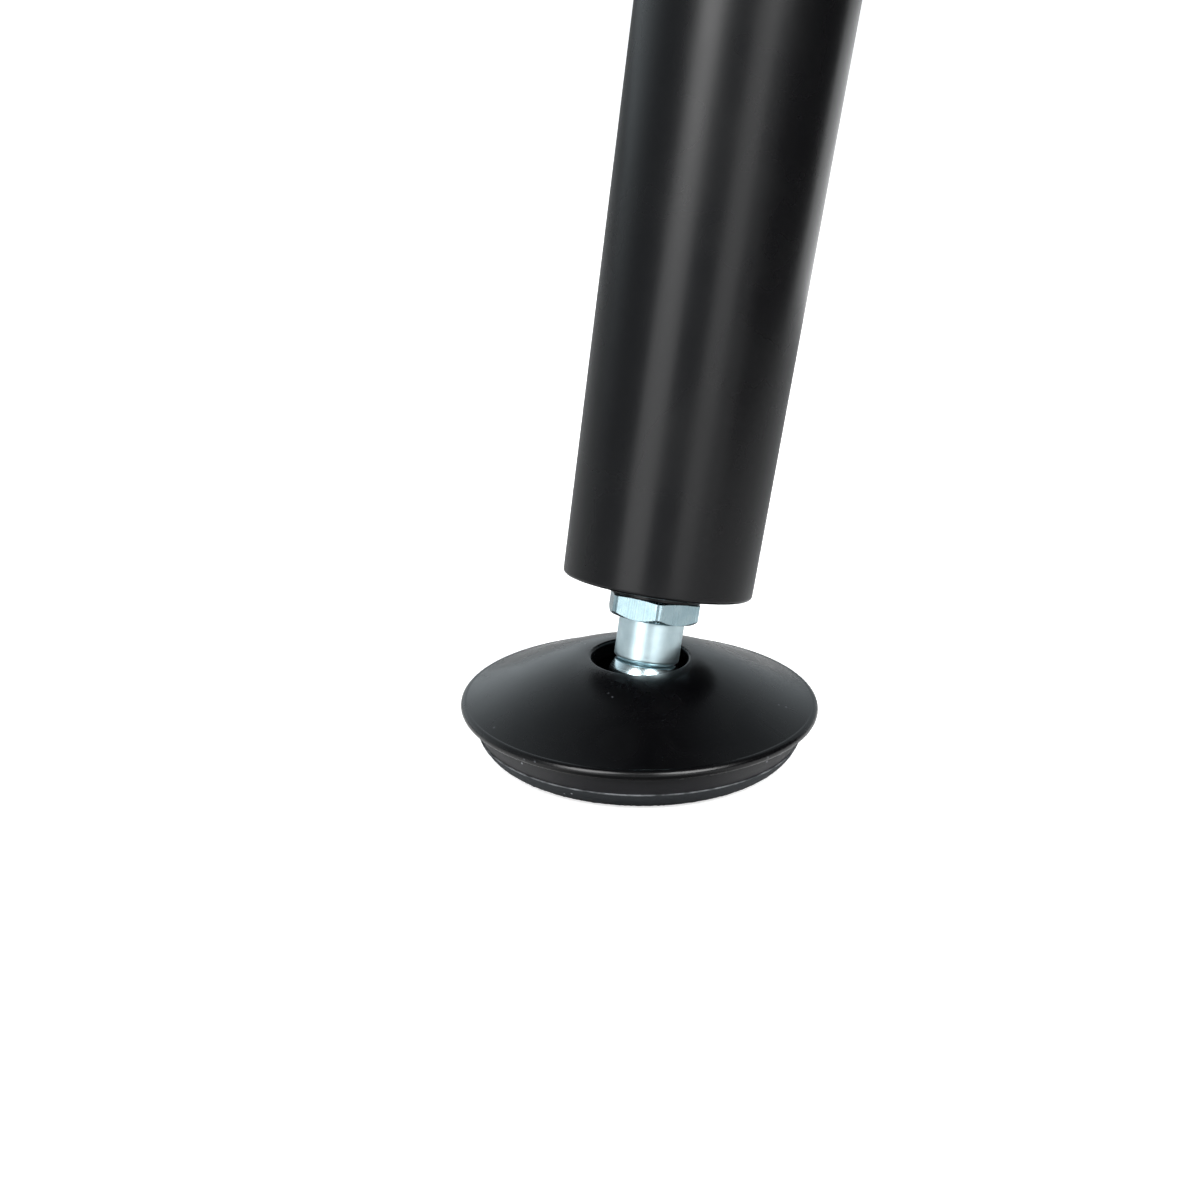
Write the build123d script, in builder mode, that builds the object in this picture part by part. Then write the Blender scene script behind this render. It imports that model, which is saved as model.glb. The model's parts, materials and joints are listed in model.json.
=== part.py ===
"""Folding table leg: a splayed conical tube on a folding bracket, standing on a swivelling levelling foot.

Millimetres, +Z up. The origin is the middle of the hinge on the bracket's top face, which lies on the
underside of the table. The hinge pin runs along X, the foot splays towards -Y and folds towards +Y.
"""
import os
from math import asin, cos, degrees, radians, sin

from build123d import *

os.makedirs("parts", exist_ok=True)

# Whole leg
table_height = 710.0
splay = 14.2
pivot_drop = 35.0
running_gap = 0.05

# Folding bracket, pressed from sheet
sheet = 3.0
plate_width = 90.0
plate_length = 112.0
plate_middle = -8.0
plate_corner = 8.0
screw_spacing_x = 64.0
screw_spacing_y = 84.0
screw_hole_radius = 2.75
cheek_inner = 21.0
cheek_radius = 16.0
cheek_front = 24.0
cheek_depth = 18.0
bend_radius = 1.0

# Pivot bolt, its nut and washers
bolt_radius = 5.0
bolt_across_flats = 17.0
bolt_head = 6.4
bolt_tail = 3.0
nut_height = 9.0
nut_hex_height = 6.3
nut_collar_radius = 7.6
washer = 0.9
washer_radius = 11.0

# Stop pin between the cheeks
stop_radius = 4.0
stop_reach = 26.5
stop_angle = 120.0
stop_head_radius = 6.0
stop_head = 2.0
stop_gap = 0.15

# Hinge head, cast
knuckle_radius = 22.0
knuckle_half_width = 20.0
lug_radius = 29.0
lug_sweep = 30.0
flange_top = 18.0
flange = 3.0
plug_length = 32.0
plug_wall = 5.0
plug_floor = 8.0
edge_round = 1.0
notch_half_width = 3.5
notch_depth = 2.3

# Latch spring, a bent leaf under the plate
leaf = 0.8
leaf_width = 14.0
leaf_end = 57.0
leaf_flat = 34.0
leaf_shoulder = 8.5
leaf_drop = 3.0
nose_tail = 5.0
nose_rise = 6.3
nose_gap = 0.3
leaf_bend = 1.2
latch_rivet_radius = 2.0
latch_rivet_head_radius = 3.6
latch_rivet_head = 1.5
latch_rivet_recess = 0.2
latch_rivet_places = (-52.0, -42.0)

# Conical tube
tube_top_radius = 30.0
tube_bottom_radius = 15.4
tube_collar = 36.0
tube_wall = 1.5
tube_edge = 1.0

# Rivets that hold the head in the tube
head_rivet_radius = 2.4
head_rivet_head_radius = 4.4
head_rivet_head = 1.4
head_rivet_depth = 16.0
head_rivet_grip = 6.5
head_rivet_count = 4

# Foot of the tube: disc and nut for the levelling spindle
disc_height = 5.0
disc_hole_radius = 5.6
disc_boss_radius = 7.1
disc_boss_height = 1.65
disc_boss_root = 0.85
spindle_nut_across_flats = 17.0
spindle_nut_height = 12.0

# Levelling spindle, measured up the leg from the ball's centre
ball_radius = 4.4
ball_height = 7.9
neck_radius = 2.6
shoulder = 7.15
shank_radius = 5.3
hex_bottom = 14.4
hex_top = 17.8
hex_across_flats = 14.0
hex_corner = 1.3
hex_turn = 8.0
hex_top_chamfer = 0.2
hex_bottom_chamfer = 0.9
stud_radius = 5.0
stud_top = 64.0
tube_bottom = 19.65
undercut = 0.3
small_chamfer = 0.6

# Ring on the spindle's neck
ring_bottom = 4.9
ring_shoulder = 5.5
ring_top = 6.85
ring_radius = 5.7
ring_top_radius = 5.1
ring_edge = 0.2

# Ball socket: a ring around the ball and a seat below it
socket_ring_radius = 6.0
socket_ring_top_angle = 57.0
seat_radius = 6.1
seat_top = 6.0
seat_hole_radius = 2.0
pocket_radius = 6.12
pocket_floor = 2.9

# Foot cap, radii and heights over the floor
hole_radius = 7.85
hole_bottom = 13.7
hole_top = 15.7
hole_round = (7.98, 16.05)
crown = (8.35, 16.2)
dome_upper = (13.5, 16.2)
dome_lower = (22.3, 11.1)
rim_top = (28.1, 8.85)
rim_edge = (29.0, 7.85)
rim_bottom = (28.3, 7.15)
cap_foot_radius = 24.2
cap_inner_lower = (20.0, 10.2)
cap_inner_upper = (12.4, 12.9)
cap_land_radius = 10.2

# Foot base and sole
base_radius = 26.5
base_bulge = (26.6, 5.4)
seam_radius = 26.1
seam_height = 3.7
sole_pad = 1.5
sole_flat_radius = 21.6
sole_curve = (25.0, 0.5)
sole_lip_proud = 0.2
lip_radius = 24.4
base_floor_top = 4.7
base_wall = 2.2
boss_radius = 9.4
boss_top = 9.5

# Screws that hold the cap on the base
foot_screw_circle = 16.5
foot_screw_count = 3
foot_screw_radius = 1.5
foot_screw_head_radius = 2.9
foot_screw_head = 1.2
foot_screw_top = 10.0
post_radius = 2.8
post_top = 12.55

# Directions and places that follow from the sizes above
lean = radians(splay)
leg_up = Vector(0, sin(lean), cos(lean))
pivot = Vector(0, 0, -pivot_drop)
leg_span = (table_height - pivot_drop - ball_height) / cos(lean)
ball_centre = pivot - leg_up * leg_span
foot_floor = Vector(0, ball_centre.Y, -table_height)
leg_axis = Axis(pivot, leg_up)
foot_axis = Axis(foot_floor, (0, 0, 1))
side_plane = Plane(origin=pivot, x_dir=(0, 1, 0), z_dir=(1, 0, 0))
leg_section = Plane(origin=ball_centre, x_dir=(1, 0, 0), z_dir=(0, -cos(lean), sin(lean)))
leg_plane = Plane(origin=ball_centre, x_dir=(1, 0, 0), z_dir=leg_up)
foot_section = Plane(origin=foot_floor, x_dir=(1, 0, 0), z_dir=(0, -1, 0))
foot_plane = Plane(origin=foot_floor)
cheek_outer = cheek_inner + sheet
tube_top = leg_span - flange_top - flange
collar_bottom = tube_top - tube_collar
tube_taper = (tube_top_radius - tube_bottom_radius) / (collar_bottom - tube_bottom)
fold_angle = 90 + splay
stop_place = (stop_reach * cos(radians(stop_angle)), stop_reach * sin(radians(stop_angle)))


def tube_radius(height):
    """Outer radius of the tube's cone at a height up the leg from the ball's centre."""
    return tube_bottom_radius + tube_taper * (height - tube_bottom)


def hex_radius(across_flats):
    """Corner radius of a hexagon with this size across its flats."""
    return across_flats / 2 / cos(radians(30))


# Mounting bracket: a channel of sheet with two cheeks, and a plate that widens at both ends
with BuildPart() as mounting_bracket:
    with BuildSketch(Plane.XZ.offset(-cheek_radius)):
        with BuildLine():
            FilletPolyline(
                (-cheek_outer + sheet / 2, -pivot_drop - 2 * cheek_radius),
                (-cheek_outer + sheet / 2, -sheet / 2),
                (cheek_outer - sheet / 2, -sheet / 2),
                (cheek_outer - sheet / 2, -pivot_drop - 2 * cheek_radius),
                radius=bend_radius + sheet / 2,
            )
        trace(line_width=sheet)
    extrude(amount=cheek_radius + cheek_front)
    with BuildSketch(side_plane):
        Circle(cheek_radius)
        with Locations(((cheek_radius - cheek_front) / 2, pivot_drop - cheek_depth / 2)):
            Rectangle(cheek_radius + cheek_front, cheek_depth)
        make_hull()
    extrude(amount=plate_width, both=True, mode=Mode.INTERSECT)
    with BuildSketch(Plane.XY):
        with Locations((0, plate_middle)):
            RectangleRounded(plate_width, plate_length, plate_corner)
        with Locations((0, (cheek_radius - cheek_front) / 2)):
            notch_offset = cheek_outer - bend_radius - sheet + plate_width / 2
            with GridLocations(2 * notch_offset, 0, 2, 1):
                Rectangle(plate_width, cheek_radius + cheek_front, mode=Mode.SUBTRACT)
        with Locations((0, plate_middle)):
            with GridLocations(screw_spacing_x, screw_spacing_y, 2, 2):
                Circle(screw_hole_radius, mode=Mode.SUBTRACT)
        with Locations(*[(0, place) for place in latch_rivet_places]):
            Circle(latch_rivet_radius, mode=Mode.SUBTRACT)
    extrude(amount=-sheet)
    with BuildSketch(side_plane):
        Circle(bolt_radius + running_gap)
        with Locations(stop_place):
            Circle(stop_radius + running_gap)
    extrude(amount=plate_width, both=True, mode=Mode.SUBTRACT)
mounting_bracket.part.label = "mounting_bracket"
export_step(mounting_bracket.part, "parts/mounting_bracket.step")

# Pivot bolt: hexagon head on the -X side, plain shank through cheeks and knuckle
with BuildPart() as pivot_bolt:
    with BuildSketch(side_plane.offset(-cheek_outer)):
        RegularPolygon(hex_radius(bolt_across_flats), 6)
    extrude(amount=-bolt_head)
    with BuildSketch(side_plane.offset(-cheek_outer)):
        Circle(bolt_radius)
    extrude(amount=2 * cheek_outer + nut_height + bolt_tail)
    chamfer(pivot_bolt.faces().sort_by(Axis.X)[-1].edges(), small_chamfer)
pivot_bolt.part.label = "pivot_bolt"
export_step(pivot_bolt.part, "parts/pivot_bolt.step")

# Pivot nut, a lock nut on the +X side
with BuildPart() as pivot_nut:
    with BuildSketch(side_plane.offset(cheek_outer)):
        RegularPolygon(hex_radius(bolt_across_flats), 6)
        Circle(bolt_radius + running_gap, mode=Mode.SUBTRACT)
    extrude(amount=nut_hex_height)
    with BuildSketch(side_plane.offset(cheek_outer + nut_hex_height)):
        Circle(nut_collar_radius)
        Circle(bolt_radius + running_gap, mode=Mode.SUBTRACT)
    extrude(amount=nut_height - nut_hex_height)
pivot_nut.part.label = "pivot_nut"
export_step(pivot_nut.part, "parts/pivot_nut.step")

# Pivot washers between the cheeks and the knuckle
with BuildPart() as pivot_washers:
    for side in (-1, 1):
        with BuildSketch(side_plane.offset(side * cheek_inner)):
            Circle(washer_radius)
            Circle(bolt_radius + running_gap, mode=Mode.SUBTRACT)
        extrude(amount=-side * washer)
pivot_washers.part.label = "pivot_washers"
export_step(pivot_washers.part, "parts/pivot_washers.step")

# Stop pin: riveted across the cheeks, the lug of the head meets it when the leg is open
with BuildPart() as stop_pin:
    with BuildSketch(side_plane):
        with Locations(stop_place):
            Circle(stop_radius)
    extrude(amount=cheek_outer, both=True)
    for side in (-1, 1):
        with BuildSketch(side_plane.offset(side * cheek_outer)):
            with Locations(stop_place):
                Circle(stop_head_radius)
        extrude(amount=side * stop_head)
stop_pin.part.label = "stop_pin"
export_step(stop_pin.part, "parts/stop_pin.step")

# Latch spring: flat under the plate, then down to a nose that drops into a notch of the head
leaf_level = -sheet - leaf / 2
nose_level = -pivot_drop + knuckle_radius - notch_depth + nose_gap + leaf / 2
with BuildPart() as latch_spring:
    with BuildSketch(Plane.YZ):
        with BuildLine():
            FilletPolyline(
                (-leaf_end, leaf_level),
                (-leaf_flat, leaf_level),
                (-leaf_shoulder, leaf_level - leaf_drop),
                (0, nose_level),
                (nose_tail, nose_level + nose_rise),
                radius=leaf_bend,
            )
        trace(line_width=leaf)
    extrude(amount=leaf_width / 2, both=True)
    with BuildSketch(Plane.XY.offset(leaf_level - leaf)):
        with Locations(*[(0, place) for place in latch_rivet_places]):
            Circle(latch_rivet_radius)
    extrude(amount=2 * leaf, mode=Mode.SUBTRACT)
latch_spring.part.label = "latch_spring"
export_step(latch_spring.part, "parts/latch_spring.step")

# Latch rivets: heads under the leaf, shanks up into the plate
with BuildPart() as latch_rivets:
    with BuildSketch(Plane.XY.offset(-sheet - leaf)):
        with Locations(*[(0, place) for place in latch_rivet_places]):
            Circle(latch_rivet_head_radius)
    extrude(amount=-latch_rivet_head)
    chamfer(latch_rivets.faces().group_by(Axis.Z)[0].edges(), small_chamfer)
    with BuildSketch(Plane.XY.offset(-sheet - leaf)):
        with Locations(*[(0, place) for place in latch_rivet_places]):
            Circle(latch_rivet_radius)
    extrude(amount=sheet + leaf - latch_rivet_recess)
latch_rivets.part.label = "latch_rivets"
export_step(latch_rivets.part, "parts/latch_rivets.step")

# Hinge head: knuckle with a stop lug and two latch notches, flange on the tube, hollow plug in it
plug_radius = tube_top_radius - tube_wall - running_gap
lug_start = stop_angle + degrees(asin((stop_radius + stop_gap) / stop_reach))
rivet_height = tube_top - head_rivet_depth
with BuildPart() as hinge_head:
    with BuildSketch(leg_section):
        with BuildLine():
            Polyline(
                (0, tube_top - plug_floor),
                (0, tube_top + flange),
                (tube_top_radius - edge_round, tube_top + flange),
                (tube_top_radius, tube_top + flange - edge_round),
                (tube_top_radius, tube_top),
                (plug_radius, tube_top),
                (plug_radius, tube_top - plug_length),
                (plug_radius - plug_wall, tube_top - plug_length),
                (plug_radius - plug_wall, tube_top - plug_floor),
                close=True,
            )
        make_face()
    revolve(axis=leg_axis)
    with BuildSketch(side_plane):
        Circle(knuckle_radius)
        with BuildLine():
            lug_edge = CenterArc((0, 0), lug_radius, lug_start, lug_sweep)
            Line((0, 0), lug_edge @ 0)
            Line(lug_edge @ 1, (0, 0))
        make_face()
        for angle in (90, 90 - fold_angle):
            with PolarLocations(knuckle_radius, 1, start_angle=angle):
                Polygon(
                    (edge_round, notch_half_width),
                    (-notch_depth, 0),
                    (edge_round, -notch_half_width),
                    align=None,
                    mode=Mode.SUBTRACT,
                )
    extrude(amount=knuckle_half_width, both=True)
    with BuildSketch(side_plane):
        Circle(bolt_radius + running_gap)
    extrude(amount=knuckle_half_width, both=True, mode=Mode.SUBTRACT)
    with Locations(leg_plane.offset(rivet_height)):
        with PolarLocations(0, head_rivet_count, start_angle=45):
            Cylinder(head_rivet_radius, 2 * tube_top_radius, rotation=(0, 90, 0), mode=Mode.SUBTRACT)
hinge_head.part.label = "hinge_head"
export_step(hinge_head.part, "parts/hinge_head.step")

# Leg tube: long cone of sheet steel with a straight collar at the top and a rounded bottom edge
with BuildPart() as leg_tube:
    with BuildSketch(leg_section):
        with BuildLine():
            Polyline(
                (tube_bottom_radius - tube_wall, tube_bottom),
                (tube_bottom_radius, tube_bottom),
                (tube_top_radius, collar_bottom),
                (tube_top_radius, tube_top),
                (tube_top_radius - tube_wall, tube_top),
                (tube_top_radius - tube_wall, collar_bottom),
                close=True,
            )
        make_face()
    revolve(axis=leg_axis)
    bottom_edges = leg_tube.edges().filter_by(GeomType.CIRCLE).sort_by(leg_axis)[0:2]
    fillet(bottom_edges.sort_by(SortBy.RADIUS)[-1], tube_edge)
    with Locations(leg_plane.offset(rivet_height)):
        with PolarLocations(0, head_rivet_count, start_angle=45):
            Cylinder(head_rivet_radius, 3 * tube_top_radius, rotation=(0, 90, 0), mode=Mode.SUBTRACT)
leg_tube.part.label = "leg_tube"
export_step(leg_tube.part, "parts/leg_tube.step")

# Head rivets: heads bedded on the collar, shanks into the plug
with BuildPart() as head_rivets:
    with Locations(leg_plane.offset(rivet_height)):
        with PolarLocations(tube_top_radius + head_rivet_head, head_rivet_count, start_angle=45):
            Cone(
                head_rivet_head_radius,
                head_rivet_radius,
                2 * head_rivet_head,
                rotation=(0, 90, 0),
                align=(Align.CENTER, Align.CENTER, Align.MAX),
            )
        Cylinder(tube_top_radius, 3 * head_rivet_head_radius, mode=Mode.SUBTRACT)
        with PolarLocations(tube_top_radius + head_rivet_head / 2, head_rivet_count, start_angle=45):
            Cylinder(
                head_rivet_radius,
                head_rivet_grip,
                rotation=(0, 90, 0),
                align=(Align.CENTER, Align.CENTER, Align.MAX),
            )
head_rivets.part.label = "head_rivets"
export_step(head_rivets.part, "parts/head_rivets.step")

# End disc: closes the tube, carries the nut and has a boss down to the spindle's hexagon
disc_top = tube_bottom + disc_height
with BuildPart() as end_disc:
    with BuildSketch(leg_section):
        with BuildLine():
            Polyline(
                (disc_hole_radius, disc_top),
                (disc_hole_radius, tube_bottom - disc_boss_height),
                (disc_boss_radius, tube_bottom - disc_boss_height),
                (disc_boss_radius, tube_bottom - disc_boss_root),
                (disc_boss_radius + disc_boss_root, tube_bottom),
                (tube_bottom_radius - tube_wall - running_gap, tube_bottom),
                (tube_radius(disc_top) - tube_wall - running_gap, disc_top),
                close=True,
            )
        make_face()
    revolve(axis=leg_axis)
end_disc.part.label = "end_disc"
export_step(end_disc.part, "parts/end_disc.step")

# Spindle nut, welded on the disc inside the tube
with BuildPart() as spindle_nut:
    with BuildSketch(leg_plane.offset(disc_top)):
        RegularPolygon(hex_radius(spindle_nut_across_flats), 6)
        Circle(stud_radius + running_gap, mode=Mode.SUBTRACT)
    extrude(amount=spindle_nut_height)
spindle_nut.part.label = "spindle_nut"
export_step(spindle_nut.part, "parts/spindle_nut.step")

# Levelling spindle: stud, hexagon, shank, neck and ball, turned from one bar
with BuildPart() as levelling_spindle:
    with BuildSketch(leg_plane.offset(hex_bottom)) as hex_outline:
        RegularPolygon(hex_radius(hex_across_flats), 6, rotation=hex_turn)
        fillet(hex_outline.vertices(), hex_corner)
    extrude(amount=hex_top - hex_bottom)
    with BuildSketch(leg_section):
        with BuildLine():
            Polyline(
                (0, hex_bottom),
                (hex_across_flats / 2, hex_bottom),
                (hex_radius(hex_across_flats), hex_bottom + hex_bottom_chamfer),
                (hex_radius(hex_across_flats), hex_top - hex_top_chamfer),
                (hex_across_flats / 2, hex_top),
                (0, hex_top),
                close=True,
            )
        make_face()
    revolve(axis=leg_axis, mode=Mode.INTERSECT)
    with BuildSketch(leg_section):
        with BuildLine():
            Polyline(
                (0, 0),
                (neck_radius, 0),
                (neck_radius, shoulder),
                (shank_radius - small_chamfer, shoulder),
                (shank_radius, shoulder + small_chamfer),
                (shank_radius, hex_bottom - undercut),
                (stud_radius, hex_bottom - undercut),
                (stud_radius, stud_top - small_chamfer),
                (stud_radius - small_chamfer, stud_top),
                (0, stud_top),
                close=True,
            )
        make_face()
    revolve(axis=leg_axis)
    with Locations(leg_plane):
        Sphere(ball_radius)
levelling_spindle.part.label = "levelling_spindle"
export_step(levelling_spindle.part, "parts/levelling_spindle.step")

# Neck ring: loose bevelled ring on the spindle's neck, above the ball
with BuildPart() as neck_ring:
    with BuildSketch(leg_section):
        with BuildLine():
            Polyline(
                (neck_radius + running_gap, ring_bottom),
                (ring_radius - ring_edge, ring_bottom),
                (ring_radius, ring_bottom + ring_edge),
                (ring_radius, ring_shoulder),
                (ring_top_radius, ring_top),
                (neck_radius + running_gap, ring_top),
                close=True,
            )
        make_face()
    revolve(axis=leg_axis)
neck_ring.part.label = "neck_ring"
export_step(neck_ring.part, "parts/neck_ring.step")

# Socket ring: spherical zone around the upper half of the ball
zone_angle = 90 - socket_ring_top_angle
with BuildPart() as socket_ring:
    with BuildSketch(leg_section):
        with BuildLine():
            inner_arc = CenterArc((0, 0), ball_radius + running_gap, 0, zone_angle)
            outer_arc = CenterArc((0, 0), socket_ring_radius, 0, zone_angle)
            Line(inner_arc @ 0, outer_arc @ 0)
            Line(inner_arc @ 1, outer_arc @ 1)
        make_face()
    revolve(axis=leg_axis)
socket_ring.part.label = "socket_ring"
export_step(socket_ring.part, "parts/socket_ring.step")

# Ball seat: cup in the base, under the ball
with BuildPart() as ball_seat:
    with BuildSketch(foot_plane.offset(pocket_floor)):
        Circle(seat_radius)
        Circle(seat_hole_radius, mode=Mode.SUBTRACT)
    extrude(amount=seat_top - pocket_floor)
    with Locations(foot_plane.offset(ball_height)):
        Sphere(ball_radius + running_gap, mode=Mode.SUBTRACT)
ball_seat.part.label = "ball_seat"
export_step(ball_seat.part, "parts/ball_seat.step")

# Foot cap: moulded dome with a hole for the spindle, a rounded rim and three screw posts inside
with BuildPart() as foot_cap:
    with BuildSketch(foot_section):
        with BuildLine():
            Line((hole_radius, hole_bottom), (hole_radius, hole_top))
            ThreePointArc((hole_radius, hole_top), hole_round, crown)
            Bezier(crown, dome_upper, dome_lower, rim_top)
            ThreePointArc(rim_top, rim_edge, rim_bottom)
            Polyline(
                rim_bottom,
                (cap_foot_radius, rim_bottom[1]),
                cap_inner_lower,
                cap_inner_upper,
                (cap_land_radius, hole_bottom),
                (hole_radius, hole_bottom),
            )
        make_face()
    revolve(axis=foot_axis)
    with BuildSketch(foot_plane.offset(base_floor_top)):
        with PolarLocations(foot_screw_circle, foot_screw_count, start_angle=90):
            Circle(post_radius)
    extrude(amount=post_top - base_floor_top)
    with BuildSketch(foot_plane.offset(base_floor_top)):
        with PolarLocations(foot_screw_circle, foot_screw_count, start_angle=90):
            Circle(foot_screw_radius)
    extrude(amount=foot_screw_top - base_floor_top, mode=Mode.SUBTRACT)
foot_cap.part.label = "foot_cap"
export_step(foot_cap.part, "parts/foot_cap.step")

# Foot base: dish under the cap, its band a little rounded, with a boss that holds the ball socket
with BuildPart() as foot_base:
    with BuildSketch(foot_section):
        with BuildLine():
            Bezier((seam_radius, seam_height), base_bulge, (base_radius, rim_bottom[1]))
            Polyline(
                (base_radius, rim_bottom[1]),
                (base_radius - base_wall, rim_bottom[1]),
                (base_radius - base_wall, base_floor_top),
                (boss_radius, base_floor_top),
                (boss_radius, boss_top),
                (0, boss_top),
                (0, sole_pad),
                (lip_radius, sole_pad),
                (lip_radius, seam_height),
                (seam_radius, seam_height),
            )
        make_face()
    revolve(axis=foot_axis)
    with Locations(foot_plane.offset(ball_height)):
        Sphere(pocket_radius, mode=Mode.SUBTRACT)
    with BuildSketch(foot_plane.offset(pocket_floor)):
        Circle(pocket_radius)
    extrude(amount=ball_height - pocket_floor, mode=Mode.SUBTRACT)
    with Locations(foot_plane.offset(sole_pad).rotated((180, 0, 0))):
        with PolarLocations(foot_screw_circle, foot_screw_count, start_angle=-90):
            CounterBoreHole(
                foot_screw_radius + running_gap,
                foot_screw_head_radius + running_gap,
                foot_screw_head,
                depth=base_floor_top,
            )
foot_base.part.label = "foot_base"
export_step(foot_base.part, "parts/foot_base.step")

# Foot screws: up through the base into the cap's posts
with BuildPart() as foot_screws:
    with BuildSketch(foot_plane.offset(sole_pad)):
        with PolarLocations(foot_screw_circle, foot_screw_count, start_angle=90):
            Circle(foot_screw_head_radius)
    extrude(amount=foot_screw_head)
    with BuildSketch(foot_plane.offset(sole_pad)):
        with PolarLocations(foot_screw_circle, foot_screw_count, start_angle=90):
            Circle(foot_screw_radius)
    extrude(amount=foot_screw_top - sole_pad)
foot_screws.part.label = "foot_screws"
export_step(foot_screws.part, "parts/foot_screws.step")

# Sole: soft pad that wraps the lower edge of the base, a little proud at the seam
with BuildPart() as foot_sole:
    with BuildSketch(foot_section):
        with BuildLine():
            Line((0, sole_pad), (0, 0))
            Line((0, 0), (sole_flat_radius, 0))
            Bezier((sole_flat_radius, 0), sole_curve, (seam_radius + sole_lip_proud, seam_height))
            Polyline(
                (seam_radius + sole_lip_proud, seam_height),
                (lip_radius, seam_height),
                (lip_radius, sole_pad),
                (0, sole_pad),
            )
        make_face()
    revolve(axis=foot_axis)
foot_sole.part.label = "foot_sole"
export_step(foot_sole.part, "parts/foot_sole.step")
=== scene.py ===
import json
import math

import bpy
from mathutils import Matrix, Vector


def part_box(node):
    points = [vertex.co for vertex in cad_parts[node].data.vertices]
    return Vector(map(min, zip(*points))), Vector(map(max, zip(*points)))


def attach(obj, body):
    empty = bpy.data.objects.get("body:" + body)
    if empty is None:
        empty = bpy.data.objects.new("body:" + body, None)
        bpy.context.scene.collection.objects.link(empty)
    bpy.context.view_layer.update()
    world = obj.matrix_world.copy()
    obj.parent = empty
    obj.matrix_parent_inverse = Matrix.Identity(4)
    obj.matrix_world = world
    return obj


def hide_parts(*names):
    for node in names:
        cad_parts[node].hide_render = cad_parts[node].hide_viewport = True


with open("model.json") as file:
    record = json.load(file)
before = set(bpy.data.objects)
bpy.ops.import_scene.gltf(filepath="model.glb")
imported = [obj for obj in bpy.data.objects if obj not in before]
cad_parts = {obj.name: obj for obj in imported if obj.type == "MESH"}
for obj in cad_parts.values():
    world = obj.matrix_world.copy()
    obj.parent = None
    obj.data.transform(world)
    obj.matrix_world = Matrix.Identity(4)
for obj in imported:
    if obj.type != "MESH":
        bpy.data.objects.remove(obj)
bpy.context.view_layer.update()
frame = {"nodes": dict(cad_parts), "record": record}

MM = 0.001

# Places read from the frame
joints = {joint["name"]: joint for joint in frame["record"]["behaviour"]["joints"]}
hinge_centre = Vector(joints["fold"]["pos_m"])
ball_centre = Vector(joints["foot_tilt"]["pos_m"])
leg_up = -Vector(joints["height_adjust"]["axis"]).normalized()
leg_lean = math.atan2(leg_up.y, leg_up.z)
sole_low, sole_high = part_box("foot_sole")
foot_centre = Vector(((sole_low[0] + sole_high[0]) / 2, (sole_low[1] + sole_high[1]) / 2, sole_low[2]))
bolt_low, bolt_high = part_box("pivot_bolt")
nut_low, nut_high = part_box("pivot_nut")
stop_low, stop_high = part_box("stop_pin")
latch_low, latch_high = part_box("latch_rivets")

# Local frames: up the leg from the ball, up the foot from the floor, along the hinge from the pivot
leg_frame = Matrix.Translation(ball_centre) @ Matrix.Rotation(-leg_lean, 4, "X")
foot_frame = Matrix.Translation(foot_centre)
hinge_frame = Matrix.Translation(hinge_centre) @ Matrix.Rotation(math.radians(90), 4, "Y")

# Levelling spindle and its neck ring, in mm up the leg from the ball's centre
BALL_RADIUS = 4.4
NECK_RADIUS = 2.6
SHOULDER = 7.15
SHANK_RADIUS = 5.3
SHANK_CHAMFER = 0.6
UNDERCUT = 0.3
HEX_BOTTOM = 14.4
HEX_TOP = 17.8
HEX_FLATS = 14.0
HEX_CORNER = 1.3
HEX_TURN = 8.0
HEX_CHAMFERS = (0.9, 0.2)
SPINDLE_BREAK = 0.12
STUD_TOP = 64.0
STUD_RADIUS = 5.0
THREAD_ROOT = 4.2
THREAD_PITCH = 1.5
RING_BORE = 2.65
RING_BOTTOM = 4.9
RING_SHOULDER = 5.5
RING_TOP = 6.85
RING_RADIUS = 5.7
RING_TOP_RADIUS = 5.1
RING_BREAK = 0.15

# Leg tube, end disc and the rivets round the tube's collar, in mm up the leg from the ball's centre
TUBE_BOTTOM = 19.65
TUBE_TOP = (hinge_centre - ball_centre).length / MM - 21.0
TUBE_BOTTOM_RADIUS = 15.4
TUBE_TOP_RADIUS = 30.0
TUBE_COLLAR = 36.0
TUBE_WALL = 1.5
TUBE_EDGE = 0.6
TUBE_EDGE_STEPS = 8
COLLAR_LOW = TUBE_TOP - TUBE_COLLAR
TUBE_TAPER = (TUBE_TOP_RADIUS - TUBE_BOTTOM_RADIUS) / (COLLAR_LOW - TUBE_BOTTOM)
DISC_TOP = 24.65
DISC_HOLE = 5.6
DISC_FIT = 0.05
BOSS_BOTTOM = 18.0
BOSS_RADIUS = 7.9
BOSS_ROOT = 0.7
BOSS_ROOT_STEPS = 6
BOSS_CHAMFER = 0.15
HEAD_RIVET_DEPTH = 16.0
HEAD_RIVET_RADIUS = 4.4
HEAD_RIVET_HEIGHT = 1.4
HEAD_RIVET_BED = 0.4
HEAD_RIVET_BEARINGS = (45, 135, 225, 315)

# Pivot bolt, lock nut and stop pin, in mm along the hinge
BOLT_FLATS = 17.0
BOLT_CORNER = 0.3
BOLT_TURN = 90
BOLT_CHAMFER = 0.7
BOLT_BREAK = 0.2
BEARING_CHAMFER = 0.3
NUT_HEX_HEIGHT = 6.3
NUT_COLLAR_RADIUS = 7.6
NUT_COLLAR_ROUND = 0.8
NUT_COLLAR_SHOULDER = 0.25
NUT_BORE = 5.05
INSERT_RADIUS = 6.4
INSERT_FIT = 0.02
INSERT_SINK = (0.4, 0.7)
INSERT_BREAK = 0.1
STOP_RADIUS = 4.0
STOP_HEAD = 2.0
STOP_HEAD_EDGE = 0.5

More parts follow.
